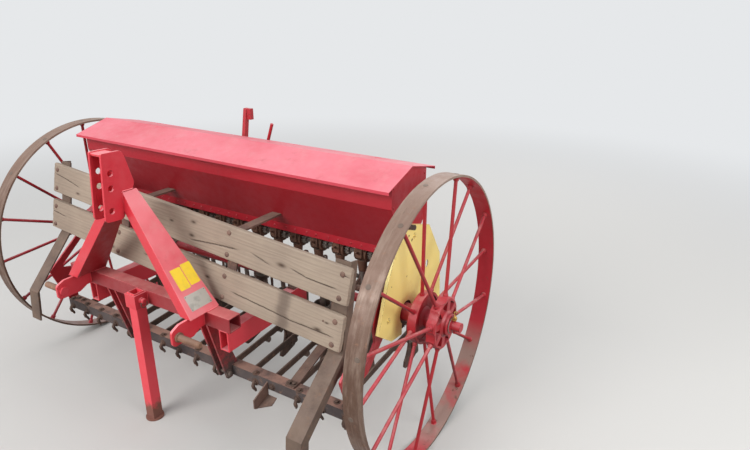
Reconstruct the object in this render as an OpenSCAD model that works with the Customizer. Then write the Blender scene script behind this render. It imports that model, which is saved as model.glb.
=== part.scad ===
// Mounted seed drill on two tall spoked steel wheels, with a later three-point hitch.
// X runs across the machine, -Y is the hitch side, Z is up, and the ground is at z = 0.
// Inside machine() the y values are counted from the axle.

/* [Wheels] */
// Diameter over the rim
wheel_d = 1220; // [1160:10:1280]
// Width of the flat rim band
rim_w = 76; // [60:2:90]
// Thickness of the rim band
rim_t = 9; // [6:0.5:12]
// Distance from a hopper end plate to the middle of a rim
rim_gap = 143; // [140:1:160]
// Diameter of a round spoke
spoke_d = 15; // [10:0.5:18]
// Spokes in a wheel, half to each hub disc
spokes = 16; // [12:4:20]
// Angle of the right wheel's first spoke from straight up
spoke_turn_right = 14; // [-20:0.5:20]
// Angle of the left wheel's first spoke from straight up
spoke_turn_left = -2.5; // [-20:0.5:20]
// Diameter of the axle
axle_d = 40; // [34:2:46]
// Radius of a hub disc
disc_r = 112; // [95:1:125]

/* [Hopper] */
// Length of the seed hopper between its end plates
hopper_len = 1850; // [1830:2:1860]
// Thickness of the hopper sheet
sheet_t = 3; // [2:0.5:4]
// Overhang of the lid past the end plates
lid_over = 12; // [5:1:20]
// Pin diameter of the lid hinges
lid_pin_d = 10; // [8:1:12]
// Thickness of a side frame
side_t = 10; // [8:1:12]
// Thickness of the gear cover's sheet
cover_t = 3; // [2:0.5:4]

/* [Coulters] */
// Number of seed rows
rows = 15; // [13:2:15]
// Distance from a hopper end plate to the middle of the first row
row_margin = 99; // [95:1:110]
// Thickness of a draft arm
arm_t = 8; // [6:1:10]
// Height of a draft arm
arm_h = 30; // [24:1:34]
// Distance of the rear rank's coulters from the hinge rod
rear_reach = 642; // [630:1:655]
// Distance between the two ranks
rank_gap = 230; // [220:1:240]
// Distance of the lift eyes in front of the rear rank
eye_gap = 90; // [86:1:96]
// Rise of the raised arms towards the rear, in degrees
arm_rise = 4.5; // [4:0.1:5]
// Angle that the arms swing down from raised to working, in degrees
arm_swing = 11; // [8:0.5:11]
// Diameter of the rod that the draft arms swing on
hinge_rod_d = 18; // [14:1:20]
// Outer diameter of a seed tube's lower stretch
tube_d = 26; // [22:1:28]
// Diameter of the lift shaft
shaft_d = 30; // [26:1:34]
// Length of a lift finger
finger = 110; // [104:1:120]

/* [Planks] */
// Width of a plank
plank_w = 145; // [130:1:150]
// Thickness of a plank
plank_t = 28; // [22:1:34]
// Distance that a plank ends inside the hopper's end plates
plank_inset = 22; // [10:1:40]
// Gap between the two planks
plank_gap = 42; // [30:1:55]
// Width of the light face of a leg iron
iron_w = 70; // [60:1:75]
// Thickness of the leg irons
iron_t = 7; // [5:0.5:9]

/* [Hitch] */
// Sideways place of the hitch, towards the left wheel
hitch_off = 100; // [90:1:110]
// Length of the square cross tube
cross_len = 1034; // [1000:2:1060]
// Side of the cross tube
cross_s = 65; // [60:1:70]
// Wall of the hitch tubes
tube_wall = 5; // [3:0.5:7]
// Distance between the outer faces of the two lower link plates
link_span = 756; // [740:2:770]
// Diameter of a lower link pin
link_pin_d = 28; // [22:1:30]
// Free length of a lower link pin
link_pin_len = 120; // [90:1:130]
// Diameter of a top link hole
top_hole_d = 25; // [19:0.5:26]
// Thickness of the headstock plates
head_t = 10; // [8:1:14]
// Side of the square parking leg
leg_s = 50; // [44:1:56]

/* [Hidden] */
$fn = 48;

// Colours
red = "#C4303C";
lid_red = "#D06070";
dark_red = "#8E2830";
rust = "#6E5044";
rim_rust = "#96877D";
wood = "#A5968A";
yellow = "#D7BE64";
steel = "#77706A";

// Running gap of pins, shafts and hubs, on the radius, and gap of seated pieces
run_gap = 0.05;
seat_gap = 0.3;

// Reach of the link plates in front of the axle, which with the wheels' radius centres the box on y = 0
link_tip_y = -670;
axle_z = wheel_d / 2;
axle_y = (-link_tip_y - wheel_d / 2) / 2;

// Hopper ends, side frames and wheels, from the middle of the machine
end_x = hopper_len / 2;
side_x = end_x - 20;
wheel_x = end_x + rim_gap;
axle_end_x = wheel_x + 130;

// Hub, as distances from the middle of the rim: sleeve, inner disc, outer disc and barrel
hub_in = 4 - rim_gap;
disc_in = -63;
disc_out = 22;
disc_t = 40;
barrel_end = 84;
barrel_r = 47;
neck_r = 40;

// Hopper
base_z = 858;
hopper_front = -110;
hopper_rear = 180;
base_front = -20;
base_rear = 105;

// Lid: lower face of the bent sheet, front lip, ridge and rear lip, and its hinge behind the rear wall
lid_pts = [[-153, 1180], [33, 1237], [236, 1191]];
hinge_pin = [200, 1172];
function lid_under(y) = y < lid_pts[1][0]
    ? lid_pts[0][1] + (y - lid_pts[0][0]) * (lid_pts[1][1] - lid_pts[0][1]) / (lid_pts[1][0] - lid_pts[0][0])
    : lid_pts[1][1] + (y - lid_pts[1][0]) * (lid_pts[2][1] - lid_pts[1][1]) / (lid_pts[2][0] - lid_pts[1][0]);
front_top = lid_under(hopper_front) - 0.5;
rear_top = lid_under(hopper_rear) - 2;
hopper_pts = [[hopper_front, front_top], [hopper_front, 1097], [base_front, 893], [base_front, base_z],
    [base_rear, base_z], [base_rear, 893], [hopper_rear, 1000], [hopper_rear, rear_top]];

// Front bar, an angle iron, with the hinge rod under its flange
bar_y = -380;
bar_top = 330;
bar_s = 50;
bar_t = 6;
hinge_y = bar_y + 28;
hinge_z = bar_top - 38;

// Lift eye on the arms, and the shaft whose fingers reach it from the front
eye_reach = rear_reach - eye_gap;
front_reach = rear_reach - rank_gap;
function arm_point(r, h) = [hinge_y + r * cos(arm_rise) - h * sin(arm_rise),
    hinge_z + r * sin(arm_rise) + h * cos(arm_rise)];
eye = arm_point(eye_reach, 0);
eye_drop = eye_reach * (sin(arm_rise) + sin(arm_swing - arm_rise));
finger_up = asin(eye_drop / 2 / finger);
finger_play = 6;
shaft_y = eye[0] - finger_play - finger * cos(finger_up);
shaft_z = 600;
tip = [shaft_y + finger * cos(finger_up), shaft_z + finger * sin(finger_up)];
link_side = 22;
strap_t = 8;
finger_pin_d = 10;
ring_in = 15;

// Feed shaft
feed_y = 42;
feed_z = 815;
feed_d = 18;

// Gear train behind the cover, outside the hopper's end: wheel, idler (out of mesh while the coulters are up), feed
gear_m = 4;
gear_x = end_x + 4;
gear_w = 9;
hub_teeth = 36;
idler_teeth = 14;
feed_teeth = 42;
mesh_angle = 10.3;
idler_at = [feed_y, feed_z] + (feed_teeth + idler_teeth) * gear_m / 2 * [sin(mesh_angle), -cos(mesh_angle)];
idler_turn = mesh_angle + 180 + (feed_teeth * mesh_angle - 180) / idler_teeth;

// Rows
row_pitch = (hopper_len - 2 * row_margin) / (rows - 1);

// Planks: top middle edge of the upper one, how far they lean back and how far their left end is higher
plank_y = -336;
plank_z = 1005;
plank_lean = 10.7;
plank_tilt = 4.4;
plank_len = hopper_len - 2 * plank_inset;
iron_x = plank_len / 2 - 93;

// Hitch
cross_y = -470;
cross_top = 660;
cross_front = cross_y - cross_s / 2;
cross_bottom = cross_top - cross_s;
link_t = 12;
link_pin_y = -640;
link_pin_z = 610;
head_half = 40;
beam_t = 50;
rail_w = 50;
rail_t = 7;
rail_base = 500;
rail_front = -500;
leg_y = cross_front - leg_s / 2 - 8;

function unit(v) = v / norm(v);
function left_of(v) = [-v[1], v[0]];
// Point i of a path moved d to the left of its run, with mitred corners
function beside(pts, i, d) =
    let (n = len(pts),
         a = left_of(unit(i == 0 ? pts[1] - pts[0] : pts[i] - pts[i - 1])),
         b = i == n - 1 || i == 0 ? a : left_of(unit(pts[i + 1] - pts[i])),
         m = unit(a + b))
    pts[i] + m * d / (m * a);
// Outline of a bent strip: the path, and back along the same path moved by t
function strip(pts, t) =
    concat(pts, [for (i = [len(pts) - 1:-1:0]) beside(pts, i, t)]);
// Points of an arc about c, and an outline [y, z, corner radius] with its corners rounded
function arc(c, r, a0, a1, n) = [for (k = [0:n]) c + r * [cos(a0 + (a1 - a0) * k / n), sin(a0 + (a1 - a0) * k / n)]];
function turn(a) = a > 180 ? a - 360 : a < -180 ? a + 360 : a;
function corner(p, q, s, r) = r == 0 ? [q] :
    let (u = unit(p - q),
         v = unit(s - q),
         half = acos(u * v) / 2,
         c = q + unit(u + v) * r / sin(half),
         f = q + u * r / tan(half) - c,
         g = q + v * r / tan(half) - c,
         a = atan2(f[1], f[0]))
    arc(c, r, a, a + turn(atan2(g[1], g[0]) - a), 4);
function flat2(p) = [p[0], p[1]];
function rounded(pts) = let (n = len(pts)) [for (i = [0:n - 1])
    each corner(flat2(pts[(i + n - 1) % n]), flat2(pts[i]), flat2(pts[(i + 1) % n]), len(pts[i]) > 2 ? pts[i][2] : 0)];
function row_x(i) = (i - (rows - 1) / 2) * row_pitch;
function is_long(i) = i % 2 == 0;
function reach(i) = is_long(i) ? rear_reach : front_reach;

// Everything is placed from the axle, and the hitch from its own middle plane
module machine() translate([0, axle_y, 0]) children();
module hitch() machine() translate([-hitch_off, 0, 0]) children();
// Plate with a y-z outline, from x0 on, t thick along X
module plate_yz(x0, t, pts) translate([x0, 0, 0]) rotate([90, 0, 90]) linear_extrude(t) polygon(pts);
module rod(p, q, d) {
    v = q - p;
    translate(p) rotate([0, acos(v[2] / norm(v)), atan2(v[1], v[0])]) cylinder(h = norm(v), d = d);
}
module bar_x(x0, x1, y, z, d) translate([x0, y, z]) rotate([0, 90, 0]) cylinder(h = x1 - x0, d = d);

// The axle carries a washer and a linchpin outside each hub
module axle() color(steel) machine() {
    bar_x(-axle_end_x, axle_end_x, 0, axle_z, axle_d);
    for (s = [0, 1]) mirror([s, 0, 0]) {
        bar_x(wheel_x + barrel_end + 1, wheel_x + barrel_end + 7, 0, axle_z, 66);
        translate([wheel_x + barrel_end + 16, 0, axle_z - 34]) cylinder(h = 66, d = 9);
    }
}

// Wheel parts, made for the right side and mirrored for the left
module rim() color(rim_rust) machine() translate([wheel_x - rim_w / 2, 0, axle_z]) rotate([0, 90, 0])
    rotate_extrude($fn = 96) translate([wheel_d / 2 - rim_t, 0]) square([rim_t, rim_w]);
// Each hub has two discs. The outer one is scalloped between its spokes and has a pocket in every bay.
module hub(phase) color(red) machine() translate([wheel_x, 0, axle_z]) rotate([0, 90, 0]) difference() {
    bore = axle_d / 2 + run_gap;
    rotate_extrude($fn = 64) polygon([[bore, hub_in], [neck_r, hub_in], [neck_r, disc_in], [disc_r - 4, disc_in],
        [disc_r, disc_in + 4], [disc_r, disc_in + disc_t], [disc_r - 12, disc_in + disc_t],
        [disc_r - 18, disc_in + disc_t - 14], [neck_r + 10, disc_in + disc_t - 14], [neck_r, disc_in + disc_t],
        [neck_r, disc_out], [disc_r, disc_out], [disc_r, disc_out + disc_t - 5], [disc_r - 5, disc_out + disc_t],
        [barrel_r + 8, disc_out + disc_t], [barrel_r, disc_out + disc_t + 8], [barrel_r, barrel_end - 4],
        [barrel_r - 4, barrel_end], [bore, barrel_end]]);
    for (k = [0:spokes / 2 - 1]) rotate([0, 0, 180 - phase - (k + 0.5) * 720 / spokes]) {
        translate([0, 0, disc_out + 12]) linear_extrude(disc_t)
            polygon(concat([[barrel_r + 12, -9], [barrel_r + 12, 9]], arc([0, 0], disc_r - 15, 14, -14, 4)));
        translate([disc_r + 52, 0, disc_out - 1]) cylinder(h = disc_t + 2, r = 60);
    }
}
module spokes_of(phase) color(red) machine() for (k = [0:spokes - 1]) {
    a = phase + k * 360 / spokes;
    outer = k % 2 == 0;
    r0 = disc_r - 0.6;
    r1 = wheel_d / 2 - rim_t + 0.6;
    rod([wheel_x + (outer ? disc_out : disc_in) + disc_t / 2, r0 * sin(a), axle_z + r0 * cos(a)],
        [wheel_x + (outer ? 10 : -10), r1 * sin(a), axle_z + r1 * cos(a)], spoke_d);
}
module spokes(phase) difference() {
    spokes_of(phase);
    hub(phase);
    rim();
}
module rim_right() rim();
module spokes_right() spokes(spoke_turn_right);
module hub_right() hub(spoke_turn_right);
module rim_left() mirror([1, 0, 0]) rim();
module spokes_left() mirror([1, 0, 0]) spokes(spoke_turn_left);
module hub_left() mirror([1, 0, 0]) hub(spoke_turn_left);

// Gears of the feed drive, with straight-sided teeth
module gear(teeth, w, bore) difference() {
    r = teeth * gear_m / 2;
    linear_extrude(w) polygon([for (k = [0:teeth - 1], p = [[-0.3, r - 1.2 * gear_m], [-0.14, r + gear_m],
        [0.14, r + gear_m], [0.3, r - 1.2 * gear_m]]) p[1] * [cos((k + p[0]) * 360 / teeth), sin((k + p[0]) * 360 / teeth)]]);
    translate([0, 0, -1]) cylinder(h = w + 2, r = bore);
}
module gear_at(p, teeth, bore) translate([gear_x, p[0], p[1]]) rotate([0, 90, 0]) gear(teeth, gear_w, bore);
module hub_gear() color(rust) machine() gear_at([0, axle_z], hub_teeth, neck_r);
module idler_gear() color(rust) machine() {
    translate([gear_x, idler_at[0], idler_at[1]]) rotate([0, 90, 0]) rotate([0, 0, idler_turn])
        gear(idler_teeth, gear_w, 7);
    bar_x(side_x + side_t, gear_x + gear_w + 2, idler_at[0], idler_at[1], 16);
}

// A side frame carries the axle, the hopper, the front bar, the feed shaft and the lift shaft
module side_frame() color(red) machine() difference() {
    plate_yz(side_x, side_t, rounded([[-455, 517, 14], [-198, 728, 30], [-75, base_z, 10], [base_rear, base_z],
        [170, 760, 30], [170, 560, 30], [60, 520, 30], [-60, 520, 30], [-109, 583, 20], [-141, 547, 20],
        [-259, 447, 20], [-330, 430, 30], [bar_y + bar_s, bar_top], [bar_y, bar_top], [bar_y - 15, 400, 20],
        [-420, 420, 14]]));
    plate_yz(side_x - 1, side_t + 2, rounded([[-395, 520, 12], [-225, 665, 14], [-205, 560, 14], [-275, 490, 12]]));
    bar_x(side_x - 5, side_x + 20, 0, axle_z, axle_d + 2 * run_gap);
    bar_x(side_x - 5, side_x + 20, feed_y, feed_z, feed_d + 2 * run_gap);
    bar_x(side_x - 5, side_x + 20, shaft_y, shaft_z, shaft_d + 2 * run_gap);
}
module side_frame_right() side_frame();
module side_frame_left() mirror([1, 0, 0]) side_frame();

module hopper_shell() color(red) machine() plate_yz(-end_x, hopper_len, strip(hopper_pts, sheet_t));
// The end plates rise as gables to the lid
module hopper_end() color(red) machine() plate_yz(end_x, sheet_t, concat(hopper_pts,
    [[lid_pts[1][0], lid_pts[1][1] - 0.5]]));
module hopper_end_right() hopper_end();
module hopper_end_left() mirror([1, 0, 0]) hopper_end();

lid_hinge_x = [for (f = [-0.757, -0.27, 0.27, 0.757]) f * end_x];
lid_lip = 10;
hinge_leaf = 60;
module lid() color(lid_red) machine() {
    out = sheet_t + lid_over;
    plate_yz(-end_x - out, hopper_len + 2 * out, strip(concat([lid_pts[0] - [0, lid_lip]], lid_pts,
        [lid_pts[2] - [0, lid_lip]]), sheet_t));
    for (x = lid_hinge_x) difference() {
        union() {
            plate_yz(x - hinge_leaf / 2, hinge_leaf / 2 - 1, [hinge_pin + [-9, 0], hinge_pin + [9, 0],
                [hinge_pin[0] + 9, lid_under(hinge_pin[0] + 9)], [hinge_pin[0] - 9, lid_under(hinge_pin[0] - 9)]]);
            bar_x(x - hinge_leaf / 2, x - 1, hinge_pin[0], hinge_pin[1], 18);
        }
        bar_x(x - hinge_leaf, x, hinge_pin[0], hinge_pin[1], lid_pin_d + 2 * run_gap);
    }
}
// Fixed halves of the hinges, with their pins
module lid_hinges() color(red) machine() for (x = lid_hinge_x) {
    plate_yz(x + 1, hinge_leaf / 2 - 1, [[hopper_rear, 1120], [hopper_rear + 6, 1120],
        hinge_pin + [9, -6], hinge_pin + [9, 0], hinge_pin + [-9, 0], [hopper_rear, 1165]]);
    bar_x(x + 1, x + hinge_leaf / 2, hinge_pin[0], hinge_pin[1], 18);
    bar_x(x - hinge_leaf / 2, x + 1, hinge_pin[0], hinge_pin[1], lid_pin_d);
}

// Feed units hang under the hopper, one to a row: a flanged housing round the shaft, a shutter and a spout
roller_r = 24;
module feed_units() color(rust) machine() for (i = [0:rows - 1]) translate([row_x(i), 0, 0]) difference() {
    union() {
        translate([-34, -2, base_z - 6]) cube([68, 92, 6]);
        plate_yz(-24, 48, concat([[78, base_z - 6], [8, base_z - 6]], arc([feed_y, feed_z], 34, 180, 360, 12)));
        for (x = [-29, 24]) bar_x(x, x + 5, feed_y, feed_z, 74, $fn = 24);
        translate([0, 30, 735]) cylinder(h = 52, d1 = 36, d2 = 46, $fn = 24);
        plate_yz(-15, 30, [[8.5, 850], [1, 850], [-4, 806], [8.5, 800]]);
        plate_yz(-3, 6, rounded([[1, 832], [-24, 842, 3], [-26, 834, 3], [0, 820]]));
    }
    bar_x(-40, 40, feed_y, feed_z, feed_d + 2 * run_gap, $fn = 24);
    translate([0, 30, 734]) cylinder(h = 12, d = tube_d + 2 * run_gap, $fn = 24);
}
// The shaft carries a fluted roller beside each unit, and the gear at its right end
module feed_shaft() color(steel) machine() {
    bar_x(-side_x - side_t - 8, gear_x + gear_w + 3, feed_y, feed_z, feed_d);
    gear_at([feed_y, feed_z], feed_teeth, feed_d / 2 - 1);
    for (i = [0:rows - 1]) translate([row_x(i) + 29.5, feed_y, feed_z]) rotate([0, 90, 0]) linear_extrude(20)
        polygon([for (k = [0:11], p = [[-0.32, 17], [-0.16, roller_r], [0.16, roller_r], [0.32, 17]])
            p[1] * [cos((k + p[0]) * 30), sin((k + p[0]) * 30)]]);
}

// Telescopic seed tubes: a collar under the spout, a slanted tube, and a wider one that ends in the funnel
knee_long = [262, 552];
knee_short = [47, 500];
module seed_tubes() color(steel) machine() for (i = [0:rows - 1]) translate([row_x(i), 0, 0]) {
    top = [0, 30, 722];
    drop = arm_point(reach(i), is_long(i) ? 86 : 92);
    knee = is_long(i) ? [0, knee_long[0], knee_long[1]] : [0, knee_short[0], knee_short[1]];
    foot = [0, drop[0] + (is_long(i) ? 10 : 9), drop[1]];
    translate([0, top[1], 708]) cylinder(h = 25, d = tube_d + 6);
    translate(top) cylinder(h = 24, d = tube_d);
    rod(top, knee, tube_d - 4);
    rod(knee + 12 * unit(knee - foot), foot, tube_d);
}

// Hangers under the flange carry the hinge rod between the arms
module front_bar() color(rust) machine() {
    plate_yz(-side_x - side_t, 2 * (side_x + side_t), [[bar_y, bar_top], [bar_y, bar_top - bar_s],
        [bar_y + bar_t, bar_top - bar_s], [bar_y + bar_t, bar_top - bar_t], [bar_y + bar_s, bar_top - bar_t],
        [bar_y + bar_s, bar_top]]);
    bar_x(-side_x, side_x, hinge_y, hinge_z, hinge_rod_d);
    for (i = [-1:rows - 1]) plate_yz(row_x(i + 0.5) - 6, 12, rounded([[hinge_y - 16, bar_top - bar_t],
        [hinge_y - 15, hinge_z - 15, 13], [hinge_y + 15, hinge_z - 15, 13], [hinge_y + 16, bar_top - bar_t]]));
}

module cross_tube() color(red) hitch() translate([-cross_len / 2, cross_front, cross_bottom]) difference() {
    cube([cross_len, cross_s, cross_s]);
    translate([-1, tube_wall, tube_wall]) cube([cross_len + 2, cross_s - 2 * tube_wall, cross_s - 2 * tube_wall]);
}

// A beam runs from the headstock down to a link plate and widens towards its foot
beam_top = [head_half, 1125];
beam_foot = [398, cross_top];
module hitch_beam() color(red) hitch() {
    run = beam_foot - beam_top;
    len_b = norm(run);
    difference() {
        translate([beam_top[0], 0, beam_top[1]]) rotate([0, atan2(-run[1], run[0]), 0]) translate([0, 0, -beam_t])
            linear_extrude(beam_t) polygon([[-60, -548], [len_b + 60, -593], [len_b + 60, -428], [-60, -488]]);
        translate([-200 + head_half, -700, 900]) cube([200, 400, 400]);
        translate([200, -700, cross_top - 100]) cube([400, 400, 100]);
    }
}
module hitch_beam_right() hitch_beam();
module hitch_beam_left() other_side() hitch_beam();

top_holes = [[-590, 1210], [-597, 1150], [-607, 1060]];
module headstock() color(red) hitch() difference() {
    inner = 2 * (head_half - head_t) + 2;
    union() {
        for (s = [-1, 1]) plate_yz(s > 0 ? head_half - head_t : -head_half, head_t, rounded([[-617, 1293, 6],
            [-523, 1290, 26], [-488, 1150, 30], [-560, 1012, 20], [-642, 1018, 14]]));
        plate_yz(-inner / 2, inner, rounded([[-614, 1278], [-614, 1288, 4], [-535, 1286, 20], [-536, 1100],
            [-546, 1100], [-545, 1278]]));
    }
    for (h = top_holes) bar_x(-60, 60, h[0], h[1], top_hole_d);
}

module other_side() translate([-2 * hitch_off, 0, 0]) mirror([1, 0, 0]) children();
module link_plate() color(red) hitch() difference() {
    plate_yz(link_span / 2 - link_t, link_t, rounded([[link_tip_y, 575, 18], [link_tip_y, 642, 18],
        [-630, cross_top, 20], [cross_front, cross_top], [cross_front, cross_bottom],
        [cross_front - 22, cross_bottom], [-565, 575, 12]]));
    bar_x(link_span / 2 - link_t - 1, link_span / 2 + 1, link_pin_y, link_pin_z, link_pin_d + 2 * run_gap);
}
module link_plate_right() link_plate();
module link_plate_left() other_side() link_plate();
// A link pin goes through its plate, with a head inside, a collar outside and a chamfered end
module link_pin() color(rust) hitch() {
    tip_x = link_span / 2 + link_pin_len;
    bar_x(link_span / 2 - link_t - 10, link_span / 2 - link_t, link_pin_y, link_pin_z, link_pin_d + 12);
    bar_x(link_span / 2 - link_t - 5, tip_x - 5, link_pin_y, link_pin_z, link_pin_d);
    bar_x(link_span / 2, link_span / 2 + 8, link_pin_y, link_pin_z, link_pin_d + 12);
    translate([tip_x - 5, link_pin_y, link_pin_z]) rotate([0, 90, 0])
        cylinder(h = 5, d1 = link_pin_d, d2 = link_pin_d - 8);
}
module link_pins() {
    link_pin();
    other_side() link_pin();
}

// Two pairs of plates hang the front bar from the cross tube
clamp_x = [-370, -320, 225, 270];
module clamp_plates() color(dark_red) machine() for (x = clamp_x) plate_yz(x, 10, rounded([[-495, cross_bottom],
    [-445, cross_bottom], [bar_y + 35, bar_top], [bar_y, bar_top], [bar_y, bar_top - bar_s - 8, 4],
    [bar_y - 32, bar_top - bar_s - 8, 12]]));

// Rails under the cross tube run back to the axle, which they meet in a round notch
module hitch_rail(x0) color(red) machine() difference() {
    run = axle_d / 2 - rail_front;
    translate([x0, rail_front, rail_base]) cube([rail_w, run, cross_bottom - rail_base]);
    translate([x0 + rail_t, rail_front - 1, rail_base + rail_t])
        cube([rail_w - 2 * rail_t, run + 2, cross_bottom - rail_base - 2 * rail_t]);
    bar_x(x0 - 1, x0 + rail_w + 1, 0, axle_z, axle_d);
}
module hitch_rail_right() hitch_rail(350);
module hitch_rail_left() hitch_rail(-490);

// The sleeve has a pin boss on both sides
leg_pin_z = cross_bottom + 32;
leg_pin_d = 17;
module leg_sleeve() color(red) hitch() difference() {
    union() {
        translate([-leg_s / 2 - 8, leg_y - leg_s / 2 - 8, cross_bottom - 3]) cube([leg_s + 16, leg_s + 16, cross_s]);
        bar_x(-leg_s / 2 - 16, leg_s / 2 + 16, leg_y, leg_pin_z, 30);
    }
    translate([-leg_s / 2 - 0.5, leg_y - leg_s / 2 - 0.5, cross_bottom - 4]) cube([leg_s + 1, leg_s + 1, cross_s + 2]);
    bar_x(-leg_s, leg_s, leg_y, leg_pin_z, leg_pin_d);
}
leg_top = cross_top + 2;
foot_t = 8;
// The leg is a square tube with a pin hole at the sleeve's bosses, and a round foot
module parking_leg() color(red) hitch() {
    translate([-leg_s / 2, leg_y - leg_s / 2, foot_t]) difference() {
        cube([leg_s, leg_s, leg_top - foot_t]);
        translate([4, 4, 10]) cube([leg_s - 8, leg_s - 8, leg_top]);
        bar_x(-1, leg_s + 1, leg_s / 2, leg_pin_z - foot_t, leg_pin_d);
    }
    translate([0, leg_y, 0]) cylinder(h = foot_t, d = 82);
}

// Planks lie in a leaning plane: local x runs along them, local z up the slope from the top edge
module plank_plane() machine() translate([0, plank_y, plank_z]) rotate([-plank_lean, 0, 0]) children();
module plank(top) color(wood) plank_plane() rotate([0, plank_tilt, 0])
    translate([-plank_len / 2, 0, top - plank_w]) cube([plank_len, plank_t, plank_w]);
module plank_upper() plank(0);
module plank_lower() plank(-plank_w - plank_gap);

// A leg iron is an angle: its light face lies behind the planks, then it leans forward and ends upright
function plank_back(z) = [plank_y + (z - plank_z) * tan(plank_lean) + plank_t / cos(plank_lean), z];
module plank_iron(path) color(rust) machine() {
    plate_yz(iron_x, iron_w, strip(path, -iron_t));
    plate_yz(iron_x + iron_w - iron_t, iron_t, strip(path, -45));
}
module plank_iron_right() plank_iron([[-667, 224], [-655, 374], plank_back(586), plank_back(950)]);
module plank_iron_left() mirror([1, 0, 0]) plank_iron([[-600, 330], [-585, 480], plank_back(735), plank_back(1078)]);
// Straps across the backs of the planks, each with two stays to the hopper's front
module plank_supports() color(rust) for (s = [[300, -22], [-385, 30]]) {
    plank_plane() translate([s[0] - 25, plank_t, -330 + s[1]]) cube([50, 8, 320]);
    machine() plate_yz(s[0] - 25, 50, [[-314, 950], [-314, 942], [-42, 942], [-45.5, 950]]);
}

// Yellow gear cover on three spacers: a sheet with a folded flange on its outer edges, cut away round the axle
cover_x = end_x + 16;
cover_fold = [[-228, 608], [-160, 797], [-48, 1023], [198, 943], [320, 766], [345, 530]];
module gear_cover() color(yellow) machine() {
    difference() {
        plate_yz(cover_x, cover_t, concat(cover_fold, [[-33, 517], [-122, 529]]));
        bar_x(cover_x - 5, cover_x + 9, 0, axle_z, 190);
        translate([cover_x - 5, -33, 400]) cube([14, 128, axle_z - 400]);
        plate_yz(cover_x - 1, cover_t + 2, concat(arc([187, 757], 11, 180, 360, 8), arc([187, 770], 11, 0, 180, 8)));
    }
    plate_yz(cover_x - 12, 12, strip(cover_fold, -cover_t));
    for (p = [[-150, 640, side_x + side_t], [60, 940, end_x + sheet_t], [145, 645, side_x + side_t]])
        bar_x(p[2], cover_x, p[0], p[1], 14);
}

// Flat stay from the front bar's flange up to the axle
module axle_stay() color(rust) machine() plate_yz(577, 46, strip([[bar_y + 4, bar_top], [bar_y + 46, bar_top],
    [-75, 415], [-axle_d / 2 - seat_gap, 560], [-axle_d / 2 - seat_gap, axle_z + 15]], 8));

// Straps over the axle hold it in the rails' notches
module axle_straps() color(rust) machine() for (x = [355, -485]) {
    seat = axle_d / 2 + seat_gap;
    plate_yz(x, 40, strip(concat([[-66, cross_bottom], [-32, cross_bottom]], arc([0, axle_z], seat, 165, 0, 10),
        [[seat, rail_base + 20]]), 6));
}

// Open box bracket on the front of the bar
module bar_bracket() color(rust) machine() {
    for (x = [450, 544]) plate_yz(x, 6, rounded([[bar_y, 325], [bar_y, 282], [bar_y - 100, 205, 8],
        [bar_y - 92, 265, 8]]));
    plate_yz(450, 100, [[bar_y - 96, 209], [bar_y - 90, 262], [bar_y - 84, 262], [bar_y - 90, 209]]);
}

// Rod behind the lid that sets the feed shaft, in a bracket on the rear wall
module setting_lever() color(red) machine() {
    rod([-70, 275, 1005], [25, 275, 1267], 16);
    plate_yz(-85, 30, [[hopper_rear, 1030], [hopper_rear, 1000], [284, 1000], [284, 1012], [hopper_rear + 12, 1012],
        [hopper_rear + 6, 1030]]);
}

// Lift shaft: a finger with a pin at each row
module lift_shaft() color(rust) machine() {
    bar_x(-side_x - side_t - 6, side_x + side_t + 6, shaft_y, shaft_z, shaft_d);
    for (i = [0:rows - 1]) translate([row_x(i) + link_side, 0, 0]) {
        plate_yz(strap_t + 4, 8, rounded([[shaft_y - 10, shaft_z + 18, 10], [shaft_y + 6, shaft_z - 18, 10],
            [tip[0] + 11, tip[1] - 7, 8], [tip[0] + 1, tip[1] + 12, 8]]));
        bar_x(-2, strap_t + 8, tip[0], tip[1], finger_pin_d, $fn = 24);
    }
}
lever_x = -170;
module lift_lever() color(red) machine() difference() {
    union() {
        plate_yz(lever_x, 20, rounded([[shaft_y - 26, shaft_z - 10, 14], [shaft_y + 24, shaft_z - 24, 16],
            [256, 1000, 60], [310, 1325, 8], [286, 1325, 8], [228, 1006, 60]]));
        bar_x(lever_x, lever_x + 20, shaft_y, shaft_z, shaft_d + 24);
        translate([lever_x, 286, 1270]) cube([46, 22, 55]);
    }
    bar_x(lever_x - 1, lever_x + 21, shaft_y, shaft_z, shaft_d + 2 * run_gap);
}
// Notched quadrant beside the lever, hung from the hopper's base
module lever_quadrant() color(rust) machine() {
    c = [shaft_y, shaft_z];
    notched = [for (k = [0:23], q = [[0, 262], [0.5, 262], [0.5, 254], [1, 254]])
        c + q[1] * [cos(80 - (k + q[0]) * 70 / 24), sin(80 - (k + q[0]) * 70 / 24)]];
    plate_yz(lever_x - 16, 8, concat([[78, base_z], [78, 838]], arc(c, 236, 80, 10, 14), [for (k = [len(notched) - 1:-1:0])
        notched[k]], [[c[0] + 262 * cos(80), base_z]]));
}

// In arm() y runs along a draft arm from the hinge rod, and z is square to it
module arm() machine() translate([0, hinge_y, hinge_z]) rotate([arm_rise, 0, 0]) children();
module draft_arms() color(rust) arm() for (i = [0:rows - 1]) translate([row_x(i), 0, 0]) difference() {
    union() {
        last = is_long(i) ? rear_reach - 10 : eye_reach + 14;
        translate([-arm_t / 2, 0, -arm_h / 2]) cube([arm_t, last, arm_h]);
        bar_x(-12, 12, 0, 0, hinge_rod_d + 14);
        bar_x(arm_t / 2, link_side + strap_t + 4, eye_reach, 0, finger_pin_d);
    }
    bar_x(-20, 20, 0, 0, hinge_rod_d + 2 * run_gap);
}
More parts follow.
